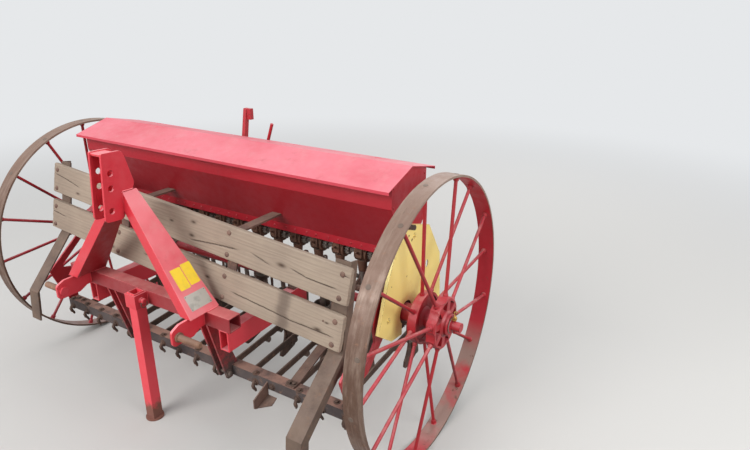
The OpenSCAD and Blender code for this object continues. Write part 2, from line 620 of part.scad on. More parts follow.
// Shoe coulters: a keel with a hollow front edge, and behind it an open boot that drops the seed.
// The front rank is cut to sit over the arms that run on past them.
funnel_base = 60;
module coulters() color(rust) arm() for (i = [0:rows - 1]) translate([row_x(i), reach(i), 0]) difference() {
    low = is_long(i) ? -195 : -185;
    nose = arc([-186, -36], 160, 0, -46, 7);
    union() {
        plate_yz(-5, 10, concat([[18, 56], [-20, 56], [-24, 0]], nose, [[-82, low + 16], [-70, low + 3],
            [-50, low], [30, low + 14], [52, low + 34], [40, -60]]));
        plate_yz(-14, 28, rounded([[-19, 56], [-19, -70, 10], [6, low + 34, 10], [50, low + 30, 8], [38, -60, 20],
            [21, 0, 10], [21, 56]]));
        translate([0, 0, 40]) cylinder(h = funnel_base - 40, d = 72, $fn = 32);
    }
    plate_yz(-9, 18, [[-13, 52], [-13, -68], [12, low + 20], [60, low + 20], [32, -58], [15, 0], [15, 52]]);
    translate([-arm_t / 2, -700, -arm_h / 2]) cube([arm_t, is_long(i) ? 690 : 900, arm_h]);
    translate([0, 0, 20]) cylinder(h = 60, d = 28, $fn = 32);
}
module seed_funnels() color(steel) arm() for (i = [0:rows - 1]) translate([row_x(i), reach(i), funnel_base])
    difference() {
        tall = is_long(i) ? 160 : 112;
        wide = is_long(i) ? 100 : 80;
        cylinder(h = tall, d1 = 64, d2 = wide + 4);
        translate([0, 0, -0.01]) cylinder(h = tall + 0.02, d1 = 60, d2 = wide);
    }
// Links hang from the fingers by a ring and hold the arms at their eyes
module lift_links() color(rust) machine() for (i = [0:rows - 1]) translate([row_x(i) + link_side, 0, 0]) {
    top_z = tip[1] - sqrt(pow(ring_in - finger_pin_d / 2 - seat_gap, 2) - pow(finger_play, 2));
    difference() {
        union() {
            bar_x(0, strap_t, eye[0], eye[1], 26);
            bar_x(0, strap_t, eye[0], top_z, 2 * ring_in + 14);
            plate_yz(0, strap_t, [[eye[0] - 6, eye[1]], [eye[0] + 6, eye[1]], [eye[0] + 6, top_z - 16], [eye[0] - 6, top_z - 16]]);
        }
        bar_x(-1, strap_t + 1, eye[0], eye[1], finger_pin_d + 2 * run_gap);
        bar_x(-1, strap_t + 1, eye[0], top_z, 2 * ring_in);
    }
}

axle();
side_frame_right();
side_frame_left();
hopper_shell();
hopper_end_right();
hopper_end_left();
lid_hinges();
feed_units();
feed_shaft();
seed_tubes();
front_bar();
cross_tube();
hitch_beam_right();
hitch_beam_left();
headstock();
link_plate_right();
link_plate_left();
link_pins();
clamp_plates();
hitch_rail_right();
hitch_rail_left();
leg_sleeve();
plank_upper();
plank_lower();
plank_iron_right();
plank_iron_left();
plank_supports();
gear_cover();
idler_gear();
axle_stay();
axle_straps();
bar_bracket();
setting_lever();
lever_quadrant();
rim_right();
spokes_right();
hub_right();
hub_gear();
rim_left();
spokes_left();
hub_left();
lid();
parking_leg();
lift_shaft();
lift_lever();
draft_arms();
coulters();
seed_funnels();
lift_links();
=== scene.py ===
# %% [markdown]
# # A seed drill that has stood outside
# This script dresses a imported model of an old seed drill: tall spoked wheels, a red sheet hopper, two
# grey planks and a newer red hitch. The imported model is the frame. It already has every load-carrying
# part at its real size, so the work here is finish: paint, rust, wood grain, and the small hardware that
# was left out.
#
# Everything is in metres. X runs across the machine, -Y is the hitch side, Z is up.

# %% Load the frame
import math

import bmesh
import bpy
from mathutils import Matrix, Vector, noise


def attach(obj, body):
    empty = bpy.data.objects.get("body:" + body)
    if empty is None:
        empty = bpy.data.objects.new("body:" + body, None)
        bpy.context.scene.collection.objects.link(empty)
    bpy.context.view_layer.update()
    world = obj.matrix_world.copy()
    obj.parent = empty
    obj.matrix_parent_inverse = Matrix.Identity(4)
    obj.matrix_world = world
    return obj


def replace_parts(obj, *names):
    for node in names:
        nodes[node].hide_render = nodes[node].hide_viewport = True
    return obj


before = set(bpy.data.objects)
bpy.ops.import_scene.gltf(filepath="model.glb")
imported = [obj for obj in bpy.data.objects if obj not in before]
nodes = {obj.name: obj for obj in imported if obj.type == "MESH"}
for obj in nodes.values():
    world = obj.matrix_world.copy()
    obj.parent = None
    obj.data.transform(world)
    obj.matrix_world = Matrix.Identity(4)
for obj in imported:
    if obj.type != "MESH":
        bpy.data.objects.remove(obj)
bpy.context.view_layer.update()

# %% [markdown]
# ## Camera
# The camera stands in front of the right wheel and looks down a little. Its wide lens gives the near
# wheel its strong perspective. Its aim is made from three angles, and each can be read off the picture by
# itself.

# %% Camera
camera_place = Vector((1.9484, -1.9080, 1.8465))
azimuth = math.radians(30.89)
downward = math.radians(21.13)
roll = math.radians(0.27)
camera_data = bpy.data.cameras.new("camera")
camera_data.lens = 28.014
camera_data.sensor_width = 36.0
camera = bpy.data.objects.new("camera", camera_data)
bpy.context.scene.collection.objects.link(camera)
bpy.context.scene.camera = camera
swung = Matrix.Rotation(azimuth, 4, "Z")
tipped = Matrix.Rotation(math.pi / 2 - downward, 4, "X")
rolled = Matrix.Rotation(roll, 4, "Z")
aim = swung @ tipped @ rolled
camera.matrix_world = Matrix.Translation(camera_place) @ aim
print("camera at", tuple(round(c, 3) for c in camera_place))

# %% [markdown]
# ## Nodes of a material
# A material is a small graph. One function adds a node, sets its properties and joins its inputs. The
# others are short names for the nodes that are used most, so each material below reads as a list of what
# it mixes. Colours are written as on a paint card, in sRGB hex.

# %% Helpers for materials
def linear(code):
    """A paint-card colour such as #B5222E, as the linear numbers that the renderer works in."""
    parts = [int(code[i:i + 2], 16) / 255 for i in (1, 3, 5)]
    return [p / 12.92 if p <= 0.04045 else ((p + 0.055) / 1.055) ** 2.4 for p in parts] + [1.0]


def add(tree, kind, inputs=None, out=0, **settings):
    """Add a node with its settings and links, and give back one of its outputs."""
    node = tree.nodes.new(kind)
    for name, value in settings.items():
        setattr(node, name, value)
    for name, value in (inputs or {}).items():
        if isinstance(value, bpy.types.NodeSocket):
            tree.links.new(value, node.inputs[name])
        else:
            node.inputs[name].default_value = value
    return node.outputs[out] if len(node.outputs) else node


def maths(tree, operation, *values):
    """A calculation on up to three values. MULTIPLY_ADD is the first times the second, plus the third."""
    return add(tree, "ShaderNodeMath", dict(enumerate(values)), operation=operation)


def vectors(tree, operation, *values):
    """The same on vectors. A dot product, a distance and a length come out as plain numbers."""
    out = "Value" if operation in ("DOT_PRODUCT", "DISTANCE", "LENGTH") else "Vector"
    return add(tree, "ShaderNodeVectorMath", dict(enumerate(values)), out=out, operation=operation)


def ramp(tree, value, low, high, most=1.0, smooth=False):
    """A mask that is 0 at low and most at high. Low may be the larger number of the two."""
    kind = "SMOOTHSTEP" if smooth else "LINEAR"
    inputs = {"Value": value, "From Min": low, "From Max": high, "To Max": most}
    return add(tree, "ShaderNodeMapRange", inputs, interpolation_type=kind)


def start_material(name):
    """A new material with one shader: the material, its tree and the shader's inputs."""
    material = bpy.data.materials.new(name)
    material.use_nodes = True
    tree = material.node_tree
    tree.nodes.clear()
    shader = add(tree, "ShaderNodeBsdfPrincipled")
    add(tree, "ShaderNodeOutputMaterial", {"Surface": shader})
    return material, tree, shader.node.inputs


def blotches(tree, at, size_mm, low, high, most=1.0, detail=5.0, rough=0.6, bend=0.0):
    """A mask of patches about size_mm across: 0 between them, and up to most inside them."""
    patch_and_gap_mm = 2 * size_mm
    cloud = add(tree, "ShaderNodeTexNoise", {"Vector": at, "Scale": 1000.0 / patch_and_gap_mm,
                "Detail": detail, "Roughness": rough, "Distortion": bend})
    return ramp(tree, cloud, low, high, most, smooth=True)


def coats(tree, base, *layers):
    """Colours laid over each other, each through its own mask. A colour is a hex code or a link."""
    colour = linear(base) if isinstance(base, str) else base
    for mask, over in layers:
        over = linear(over) if isinstance(over, str) else over
        colour = add(tree, "ShaderNodeMix", {0: mask, 6: colour, 7: over}, out=2, data_type="RGBA")
    return colour


def both(tree, *masks):
    """What several masks have in common: their product."""
    result = masks[0]
    for mask in masks[1:]:
        result = maths(tree, "MULTIPLY", result, mask)
    return result


def worn_edges(tree, at, width_mm, low, high):
    """Broken patches along sharp edges, found where the rounded normal leaves the true one."""
    rounded = add(tree, "ShaderNodeBevel", {"Radius": width_mm / 1000}, samples=4)
    true = add(tree, "ShaderNodeNewGeometry", out="Normal")
    edge = ramp(tree, vectors(tree, "DOT_PRODUCT", rounded, true), 0.985, 0.9)
    return both(tree, edge, blotches(tree, at, 14, low, high, detail=6, rough=0.7))


def relief(tree, surface, height, depth):
    """Make the surface look as if height stands out by depth metres."""
    tree.links.new(add(tree, "ShaderNodeBump", {"Height": height, "Distance": depth}), surface["Normal"])


# %% [markdown]
# ## Enamel on steel
# The red is machine enamel. On all that faces up it is painted pale pink: partly the sun's chalking,
# partly a painted sheen of the sky. What faces down is painted a deep red, which is painted shade. Dust
# lies on what faces up, and small chips and bare edges show rust. Each of these is one mask at its own
# real scale, laid over the paint. With chips at -3 the paint stays whole.

# %% Enamel
def enamel(name, paint, faded_and_sheen, shade_and_grime, gloss, dust, chips, rust="#5B382A", rusty_to=None, spots=()):
    """Old paint. Rust climbs to the height rusty_to, and each spot is a bare place with its size."""
    material, tree, surface = start_material(name)
    at = add(tree, "ShaderNodeTexCoord", out="Object")
    facing = add(tree, "ShaderNodeTexCoord", out="Normal")
    up = add(tree, "ShaderNodeSeparateXYZ", {0: facing}, out="Z")
    sun = ramp(tree, up, 0.15, 0.85, smooth=True)
    # painted shade: what faces down turns to the deep colour
    painted_shade = ramp(tree, up, -0.1, -0.75, smooth=True)
    # the pale top: partly sun chalking, partly a painted sheen of the sky
    chalk_and_sheen = both(tree, sun, blotches(tree, at, 260, 0.2, 0.62, detail=4))
    clouds = blotches(tree, at, 180, 0.45, 0.75, 0.16)
    grime = blotches(tree, at, 45, 0.56, 0.8, 0.45, detail=7, rough=0.68)
    settled = both(tree, sun, blotches(tree, at, 30, 0.42, 0.78, dust, detail=8, rough=0.72))
    flaking = blotches(tree, at, 190, 0.52, 0.68)
    flakes = blotches(tree, at, 6, 0.72 - 0.05 * chips, 0.74 - 0.05 * chips, detail=4, bend=0.5)
    edges = worn_edges(tree, at, 3.0, 0.62 - 0.1 * chips, 0.68 - 0.1 * chips)
    bare = maths(tree, "MAXIMUM", both(tree, flaking, flakes), edges)
    if rusty_to:
        height = add(tree, "ShaderNodeSeparateXYZ", {0: at}, out="Z")
        tongues = blotches(tree, at, 22, 0.2, 0.8, detail=9, rough=0.75)
        ragged = maths(tree, "MULTIPLY_ADD", tongues, -rusty_to * 0.7, height)
        bare = maths(tree, "MAXIMUM", bare, ramp(tree, ragged, rusty_to * 0.8, rusty_to * 0.3))
    for place, size in spots:
        gap = vectors(tree, "DISTANCE", at, place)
        bites = blotches(tree, at, 9, 0.25, 0.75, detail=8, rough=0.75)
        ragged = maths(tree, "MULTIPLY_ADD", bites, size * 2.0, gap)
        bare = maths(tree, "MAXIMUM", bare, ramp(tree, ragged, size * 1.7, size * 1.4))
    # Laid over in turn: pale clouds, the painted shade below, the pale top (sun chalking and a painted
    # sheen), grime, dust and bare rust.
    colour = coats(tree, paint, (clouds, faded_and_sheen), (painted_shade, shade_and_grime), (chalk_and_sheen, faded_and_sheen), (grime, shade_and_grime),
                   (settled, "#C7B2A6"), (bare, rust))
    tree.links.new(colour, surface["Base Color"])
    streak = blotches(tree, at, 20, 0.3, 0.75, 0.22)
    dull = maths(tree, "MULTIPLY_ADD", streak, settled, gloss)
    dull = maths(tree, "MULTIPLY_ADD", bare, 0.45, dull)
    dull = maths(tree, "ADD", streak, dull)
    tree.links.new(dull, surface["Roughness"])
    surface["IOR"].default_value = 1.5
    brush = blotches(tree, at, 5, 0.2, 0.8, detail=3)
    relief(tree, surface, maths(tree, "MULTIPLY_ADD", bare, -2.0, brush), 0.00018)
    return material


# In each enamel the second colour is the pale top, partly sun chalking and partly a painted sheen; the
# third is the painted shade on what faces down, and the grime.
hitch_enamel = enamel("hitch_enamel", "#CC323E", "#F08C92", "#8E161E", gloss=0.3, dust=0.25, chips=0.3)
# The cross tube takes the hitch's red made darker: painted shade, for the shadow that the beams cast on it.
shaded_tube_enamel = enamel("shaded_tube_enamel", "#8C242A", "#CC7070", "#6E1216", gloss=0.34, dust=0.3, chips=0.3)
# The leg and the rails take the hitch's red made brighter, which is painted light where they stand in
# shade. Rust climbs the leg's foot.
lit_leg_enamel = enamel("lit_leg_enamel", "#DE404C", "#E88C90", "#A01C24", gloss=0.3, dust=0.3, chips=0.3,
                    rust="#7A4E42", rusty_to=0.09)
# The clamp plates take the hitch's red made darker, which is painted shade, as they hang behind the
# bracket. Below 0.46 m they turn a dark grey-brown, darker towards the bottom.
shaded_clamp_enamel = enamel("shaded_clamp_enamel", "#AE2A34", "#D06870", "#7A161E", gloss=0.34, dust=0.3, chips=0.6,
                      rust="#51403C", rusty_to=0.46)
hopper_enamel = enamel("hopper_enamel", "#A40E20", "#B83C4C", "#68040C", gloss=0.4, dust=0.12, chips=-3.0)
lid_enamel = enamel("lid_enamel", "#C43A4A", "#D8747F", "#9C2230", gloss=0.44, dust=0.16, chips=0.1)
old_enamel = enamel("old_enamel", "#A21822", "#BC444E", "#620E16", gloss=0.38, dust=0.45, chips=1.2)
yellow = ("#F4DE86", "#F4E8AC", "#CCAE58")
cover_face = 0.944
scratches = ((0.039, 0.954, 0.008), (0.093, 0.936, 0.008), (0.067, 0.927, 0.007),
             (0.031, 0.778, 0.007), (-0.099, 0.784, 0.004), (0.217, 0.764, 0.014))
yellow_enamel = enamel("yellow_enamel", *yellow, gloss=0.45, dust=0.15, chips=1.6, rust="#5A3826",
                       spots=[((cover_face, y, z), size) for y, z, size in scratches])
collar_enamel = enamel("collar_enamel", *yellow, gloss=0.45, dust=0.15, chips=-3.0)
print("enamels mixed")

# %% [markdown]
# ## Rust and bare steel
# Mild steel that has stood out for decades has a dry brown skin of oxide. It is not metallic any more: it
# scatters light like earth. In some patches a greyer and smoother steel shows through, and dust lies on
# what faces up.

# %% Rust
def rusted(name, dark, brown, bright, bare_amount=0.25, gloss=0.85, crust_mm=0.5, painted=None,
           dusty="#8A7668", dust=0.4):
    """Rusty steel. painted is the middle and the half width, across the machine, of a band of old paint."""
    material, tree, surface = start_material(name)
    at = add(tree, "ShaderNodeTexCoord", out="Object")
    up = add(tree, "ShaderNodeSeparateXYZ", {0: add(tree, "ShaderNodeTexCoord", out="Normal")}, out="Z")
    sun = ramp(tree, up, 0.2, 0.8)
    settled = both(tree, sun, blotches(tree, at, 50, 0.25, 0.6, dust, detail=8, rough=0.7))
    bare = blotches(tree, at, 110, 0.72 - bare_amount * 0.3, 0.88 - bare_amount * 0.25, 0.75, detail=6,
                    bend=1.0)
    colour = coats(tree, dark, (blotches(tree, at, 70, 0.3, 0.68, detail=8, rough=0.65), brown),
                   (blotches(tree, at, 13, 0.52, 0.78, detail=6, rough=0.7), bright), (bare, "#7A726C"),
                   (blotches(tree, at, 26, 0.62, 0.8, 0.5), dark), (settled, dusty))
    if painted:
        middle, reach = painted
        across = add(tree, "ShaderNodeSeparateXYZ", {0: at}, out="X")
        band = maths(tree, "COMPARE", across, middle, reach)
        colour = coats(tree, colour, (both(tree, band, blotches(tree, at, 20, 0.75, 0.6)), "#C8404A"))
    tree.links.new(colour, surface["Base Color"])
    tree.links.new(maths(tree, "MULTIPLY_ADD", bare, -0.3, gloss), surface["Roughness"])
    tree.links.new(both(tree, bare, 0.5), surface["Metallic"])
    fine = blotches(tree, at, 1.8, 0.2, 0.8, 0.3)
    coarse = blotches(tree, at, 6, 0.2, 0.8, rough=0.7)
    relief(tree, surface, maths(tree, "ADD", fine, coarse), crust_mm / 1000)
    return material


brown_rust = rusted("brown_rust", "#55403A", "#7A5E52", "#94705A")
pin_rust = rusted("pin_rust", "#6A4C3C", "#8E6A54", "#A67A5C", 0.3, painted=(-0.456, 0.014))
dusty_iron = rusted("dusty_iron", "#54443C", "#6C5A4D", "#80604C", 0.35, dusty="#877468")
bar_rust = rusted("bar_rust", "#3C3434", "#544A48", "#80604F", 0.3, dusty="#A27E6E", dust=0.85)
dark_rust = rusted("dark_rust", "#3A2C26", "#584238", "#7A5A48", 0.15)
cast_rust = rusted("cast_rust", "#4E372C", "#71503F", "#8F6448", 0.15, crust_mm=0.9)
bare_steel = rusted("bare_steel", "#5E5650", "#7E766F", "#8B7565", 0.9, 0.6, 0.2)
bolt_steel = rusted("bolt_steel", "#4A3E38", "#6E5C52", "#8A6C58", 0.6, 0.6, 0.2)
rivet_steel = rusted("rivet_steel", "#54463E", "#6C5C50", "#4E3A30", 0.3, 0.65, 0.2)
print("rusts made")

# %% [markdown]
# ## Worn rim
# The rim is a rolled steel band. The road has scoured its tread to a grey-brown, with streaks that run
# round it; where the tread faces up and back it is painted paler, which is painted light. Its inner face
# still has the red paint, apart from one stretch that is worn to a dusty brown. One material does it all:
# it compares the surface's direction with the direction away from the axle.

# %% Rim
def rim_steel(name, axle, worn_side):
    """The finish of one rim. worn_side points from the axle to the stretch that has lost its paint."""
    material, tree, surface = start_material(name)
    at = add(tree, "ShaderNodeTexCoord", out="Object")
    facing = add(tree, "ShaderNodeTexCoord", out="Normal")
    arm = vectors(tree, "SUBTRACT", at, axle)
    arm = vectors(tree, "MULTIPLY", arm, (0, 1, 1))
    arm = vectors(tree, "NORMALIZE", arm)
    tread = ramp(tree, vectors(tree, "DOT_PRODUCT", facing, arm), -0.4, -0.1)
    # painted light: the tread is paler where it faces up and back
    up_and_back = (0, 0.35, 0.94)
    painted_top_light = ramp(tree, vectors(tree, "DOT_PRODUCT", arm, up_and_back), -0.15, 0.8)
    worn = ramp(tree, vectors(tree, "DOT_PRODUCT", arm, worn_side), 0.80, 0.93)
    streaks = vectors(tree, "MULTIPLY", at, (7.0, 1.0, 1.0))
    steel = coats(tree, "#5A4032", (painted_top_light, "#8A7062"),
                  (blotches(tree, streaks, 70, 0.42, 0.75, 0.6, detail=7), "#9C887A"),
                  (blotches(tree, streaks, 30, 0.55, 0.8, 0.75, detail=7, rough=0.7), "#54402F"),
                  (blotches(tree, at, 12, 0.6, 0.75, 0.6), "#8A644E"))
    scuffed = both(tree, worn, blotches(tree, at, 120, 0.22, 0.48))
    specks = blotches(tree, at, 24, 0.6, 0.66, 0.9, detail=7, rough=0.7)
    paint = coats(tree, "#BC2434", (blotches(tree, at, 200, 0.45, 0.7, 0.4), "#A01A28"),
                  (scuffed, "#94766C"), (specks, "#6E4438"),
                  (worn_edges(tree, at, 5.0, 0.4, 0.55), "#7A5A4A"))
    tree.links.new(coats(tree, paint, (tread, steel)), surface["Base Color"])
    tree.links.new(both(tree, tread, 0.25), surface["Metallic"])
    rough = blotches(tree, at, 25, 0.3, 0.7, 0.25)
    tree.links.new(maths(tree, "ADD", rough, 0.42), surface["Roughness"])
    relief(tree, surface, blotches(tree, at, 6, 0.25, 0.8, detail=6, rough=0.7), 0.0004)
    return material


# %% [markdown]
# ## Weathered softwood
# Old spruce boards go a warm silver grey. The soft spring wood erodes and the hard summer rings stay as
# low ridges that flow round each knot. The grain is a wave across the board, stretched along it, whose
# lines are pushed apart by a bell-shaped bump at every knot. Each board has its own knots. Both boards
# count from the middle of the upper one's top edge.

# %% Wood
def old_board(name, knots, shift):
    """The finish of one board. Each knot is its place along and up the board, and its size."""
    material, tree, surface = start_material(name)
    at = add(tree, "ShaderNodeTexCoord", out="Object")
    place = add(tree, "ShaderNodeSeparateXYZ", {0: at}).node.outputs
    run, rise = place["X"], place["Z"]
    push, heart = 0.0, 0.0
    for x, z, size in knots:
        reach = size * 2.4
        dx = maths(tree, "MULTIPLY_ADD", run, 1 / reach, -x / reach)
        dz = maths(tree, "MULTIPLY_ADD", rise, 1 / size, -z / size)
        far = maths(tree, "MULTIPLY_ADD", dx, dx, both(tree, dz, dz))
        bell = maths(tree, "EXPONENT", both(tree, far, -0.45))
        push = maths(tree, "MULTIPLY_ADD", both(tree, bell, dz), -size * 0.75, push)
        core = maths(tree, "EXPONENT", both(tree, far, -3.2))
        heart = maths(tree, "MAXIMUM", heart, core)
    level = maths(tree, "ADD", rise, push)
    level = maths(tree, "ADD", level, shift)
    grain = add(tree, "ShaderNodeCombineXYZ", {"X": both(tree, run, 0.04), "Y": place["Y"], "Z": level})
    wave = {"Vector": grain, "Scale": 19.0, "Distortion": 11.0, "Detail": 4.0, "Detail Scale": 0.8,
            "Detail Roughness": 0.65}
    rings = add(tree, "ShaderNodeTexWave", wave, out="Fac", wave_type="BANDS", bands_direction="Z")
    summer = ramp(tree, rings, 0.55, 0.98, 0.2)
    fibre = blotches(tree, grain, 3.5, 0.5, 0.8, 0.5, detail=6, rough=0.7)
    long_streaks = blotches(tree, grain, 9, 0.55, 0.72, 0.55, detail=7, rough=0.7)
    stain = blotches(tree, at, 110, 0.58, 0.8, 0.45, detail=7, rough=0.7)
    # The splits' mask paints them dark: painted shade in the cracks.
    split_shade_mask = add(tree, "ShaderNodeAttribute", out="Fac", attribute_name="split")
    wet_mask = add(tree, "ShaderNodeAttribute", out="Fac", attribute_name="wet")
    colour = coats(tree, "#8F7F71", (blotches(tree, at, 260, 0.3, 0.7), "#A49483"),
                   (long_streaks, "#75675C"), (summer, "#77685C"), (fibre, "#70635A"), (stain, "#6A5D52"),
                   (wet_mask, "#5E5048"), (heart, "#4C3C32"), (split_shade_mask, "#4A3D35"))
    tree.links.new(colour, surface["Base Color"])
    surface["Roughness"].default_value = 0.88
    surface["Specular IOR Level"].default_value = 0.3
    relief(tree, surface, maths(tree, "MULTIPLY_ADD", rings, 0.5, fibre), 0.0005)
    return material


# %% [markdown]
# ## Small finishes
# A vinyl sticker whose yellow has bleached unevenly, a thin aluminium plate that has gone dull in
# patches, and brass. The stickers and the plate are blank.

# %% Film, plate and brass
def thin_skin(name, base, patch, metallic, gloss, patch_mm, most):
    """A smooth finish with patches of a second colour, which are rougher and stand out a little."""
    material, tree, surface = start_material(name)
    at = add(tree, "ShaderNodeTexCoord", out="Object")
    marks = blotches(tree, at, patch_mm, 0.45, 0.7, most, detail=6)
    tree.links.new(coats(tree, base, (marks, patch)), surface["Base Color"])
    surface["Metallic"].default_value = metallic
    tree.links.new(maths(tree, "MULTIPLY_ADD", marks, 0.2, gloss), surface["Roughness"])
    relief(tree, surface, marks, 0.0002)
    return material


yellow_film = thin_skin("yellow_film", "#F2CC30", "#D6B648", 0.0, 0.4, 14, 0.45)
plate_aluminium = thin_skin("plate_aluminium", "#C8C6BE", "#9C9A92", 0.7, 0.42, 20, 0.7)
brass = thin_skin("brass", "#B08A4C", "#6E5236", 0.9, 0.4, 8, 0.7)
print("film, plate and brass made")

# %% [markdown]
# ## Finishes on the frame's nodes
# The frame's own solids keep their shape. Each gets its finish, and the hitch, which is close to the eye,
# gets narrow bevels too, because no real edge is perfectly sharp and it is the bevel that catches the
# light.

# %% Dress the frame
axle_y, axle_z = 0.030, 0.610
wheel_x = 1.068
rim_right_steel = rim_steel("rim_steel_right", (wheel_x, axle_y, axle_z), (0, 0.44, -0.90))
rim_left_steel = rim_steel("rim_steel_left", (-wheel_x, axle_y, axle_z), (0, -0.5, -0.86))
finishes = {
    hitch_enamel: ("hitch_beam_right", "hitch_beam_left", "headstock", "link_plate_right",
                   "link_plate_left", "leg_sleeve"),
    shaded_tube_enamel: ("cross_tube",),
    lit_leg_enamel: ("parking_leg", "hitch_rail_right", "hitch_rail_left"),
    shaded_clamp_enamel: ("clamp_plates",),
    hopper_enamel: ("hopper_shell", "hopper_end_right", "hopper_end_left", "lid_hinges"),
    lid_enamel: ("lid",),
    old_enamel: ("side_frame_right", "side_frame_left", "setting_lever", "lift_lever", "spokes_right",
                 "spokes_left", "hub_right", "hub_left", "axle"),
    yellow_enamel: ("gear_cover",),
    brown_rust: ("plank_supports", "axle_stay", "axle_straps", "lift_shaft", "lift_links",
                 "lever_quadrant"),
    pin_rust: ("link_pins",),
    dusty_iron: ("plank_iron_right", "plank_iron_left"),
    bar_rust: ("front_bar",),
    dark_rust: ("draft_arms", "coulters", "hub_gear", "idler_gear"),
    cast_rust: ("feed_units",),
    bare_steel: ("feed_shaft", "seed_tubes", "seed_funnels"),
    rim_right_steel: ("rim_right",),
    rim_left_steel: ("rim_left",),
}
bevels_mm = {
    2.5: ("cross_tube", "hitch_beam_right", "hitch_beam_left"),
    2.0: ("parking_leg", "hitch_rail_right", "hitch_rail_left"),
    1.5: ("headstock",),
    1.2: ("link_plate_right", "link_plate_left", "leg_sleeve"),
    1.0: ("clamp_plates",),
}


def soften(thing, width_mm, flatten):
    """Bevel the sharp edges of a node, after joining its flat faces where flatten says so."""
    weld = thing.modifiers.new("weld", "WELD")
    weld.merge_threshold = 0.00002
    if flatten:
        flat = thing.modifiers.new("flat", "DECIMATE")
        flat.decimate_type = "DISSOLVE"
        flat.angle_limit = math.radians(0.5)
    bevel = thing.modifiers.new("bevel", "BEVEL")
    bevel.width = width_mm / 1000
    bevel.segments = 2
    bevel.limit_method = "ANGLE"
    bevel.angle_limit = math.radians(35)


for finish, names in finishes.items():
    for name in names:
        nodes[name].data.materials.clear()
        nodes[name].data.materials.append(finish)
# Joining faces would spoil the open mouth of the cross tube, so its faces stay apart.
for width_mm, names in bevels_mm.items():
    for name in names:
        soften(nodes[name], width_mm, flatten=name != "cross_tube")
print(sum(map(len, finishes.values())), "nodes finished,", sum(map(len, bevels_mm.values())), "with bevels")

# %% [markdown]
# ## Mesh kit
# Small hardware is turned, bent or cut, so there is one function for each: a profile turned about an
# axis, a bar along a line of points, and a flat outline with a thickness. They all add to one bmesh,
# which then becomes a single piece that rides on its body.

# %% Turned, bent and cut
def at(x, y, z):
    """A place given from the axle, in the frame of the whole machine."""
    return Vector((x, y + axle_y, z))


def around(count, turn=0.0):
    """Angles at an even step all the way round, from turn on."""
    return [turn + 2 * math.pi * k / count for k in range(count)]


def turned(bm, profile, place, axis, steps, turn=0.0):
    """Revolve (radius, height) pairs about an axis. Six steps make a hexagon."""
    aimed = Vector(axis).to_track_quat("Z", "Y").to_matrix()
    rings = []
    for radius, height in profile:
        angles = around(steps if radius > 0 else 1, turn)
        circle = [Vector((radius * math.cos(a), radius * math.sin(a), height)) for a in angles]
        rings.append([bm.verts.new(Vector(place) + aimed @ point) for point in circle])
    for low, high in zip(rings, rings[1:]):
        for k in range(steps):
            n = k + 1
            corners = [low[k % len(low)], low[n % len(low)], high[n % len(high)], high[k % len(high)]]
            bm.faces.new(list(dict.fromkeys(corners)))


def bent(bm, points, radius, steps, closed=False):
    """A round bar along points. radius is one number, or one for each point."""
    points = [Vector(p) for p in points]
    count = len(points)
    radii = radius if isinstance(radius, list) else [radius] * count
    side = None
    rings = []
    for i, point in enumerate(points):
        before = points[i - 1] if closed or i else point
        after = points[(i + 1) % count] if closed or i < count - 1 else point
        run = (after - before).normalized()
        side = run.orthogonal() if side is None else side - run * side.dot(run)
        side.normalize()
        up = run.cross(side)
        rings.append([bm.verts.new(point + radii[i] * (math.cos(a) * side + math.sin(a) * up))
                      for a in around(steps)])
    for i in range(count if closed else count - 1):
        low, high = rings[i], rings[(i + 1) % count]
        for k in range(steps):
            bm.faces.new([low[k], low[(k + 1) % steps], high[(k + 1) % steps], high[k]])
    if not closed:
        bm.faces.new(list(reversed(rings[0])))
        bm.faces.new(rings[-1])


def cut(bm, outline, thickness, placed):
    """A flat outline with a thickness. placed is the matrix from the outline's plane to the machine."""
    low = [bm.verts.new(placed @ Vector((x, y, 0))) for x, y in outline]
    high = [bm.verts.new(placed @ Vector((x, y, thickness))) for x, y in outline]
    bm.faces.new(list(reversed(low)))
    bm.faces.new(high)
    for k in range(len(outline)):
        n = (k + 1) % len(outline)
        bm.faces.new([low[k], low[n], high[n], high[k]])


def made(name, bm, finish, angle):
    """Turn a bmesh into an object: sharp where it folds by more than angle, smooth elsewhere."""
    bmesh.ops.recalc_face_normals(bm, faces=bm.faces)
    mesh = bpy.data.meshes.new(name)
    bm.to_mesh(mesh)
    bm.free()
    mesh.materials.append(finish)
    mesh.shade_smooth()
    mesh.set_sharp_from_angle(angle=math.radians(angle))
    thing = bpy.data.objects.new(name, mesh)
    bpy.context.scene.collection.objects.link(thing)
    return thing


def finish_piece(name, bm, finish, body, angle=35):
    """Make a piece of hardware that rides on its body."""
    thing = made(name, bm, finish, angle)
    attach(thing, body)
    return thing


# %% [markdown]
# ## Bolts, nuts and rivets
# A hexagon head is a six-step turning whose top corners are chamfered, on a round washer. A carriage bolt
# has a plain dome. Widths come from the thread: an M10 bolt has 17 mm across its flats.

# %% Fasteners
# Washers and domes sit this deep in their seat, so that no gap shows.
sunk = 0.0005
m8_flats, m10_flats, m12_flats = 0.013, 0.017, 0.019


def hexagon(bm, place, axis, flats, height, thread=0.0):
    """A head or a nut on its washer, with the bolt's end standing out of it by thread."""
    place, axis = Vector(place), Vector(axis).normalized()
    washer_radius, washer = flats * 0.95, flats * 0.12
    corner = flats / 2 / math.cos(math.pi / 6)
    top = washer + height
    turned(bm, [(0, -sunk), (washer_radius, -sunk), (washer_radius, washer), (0, washer)], place, axis, 20)
    turned(bm, [(0, washer - 0.0003), (corner, washer - 0.0003), (corner, washer + height * 0.86),
                (corner * 0.87, top), (0, top)], place, axis, 6, turn=0.2)
    if thread:
        rod, tip = flats * 0.29, flats * 0.24
        turned(bm, [(0, top - 0.001), (rod, top - 0.001), (rod, top + thread - 0.001), (tip, top + thread),
                    (0, top + thread)], place, axis, 12)


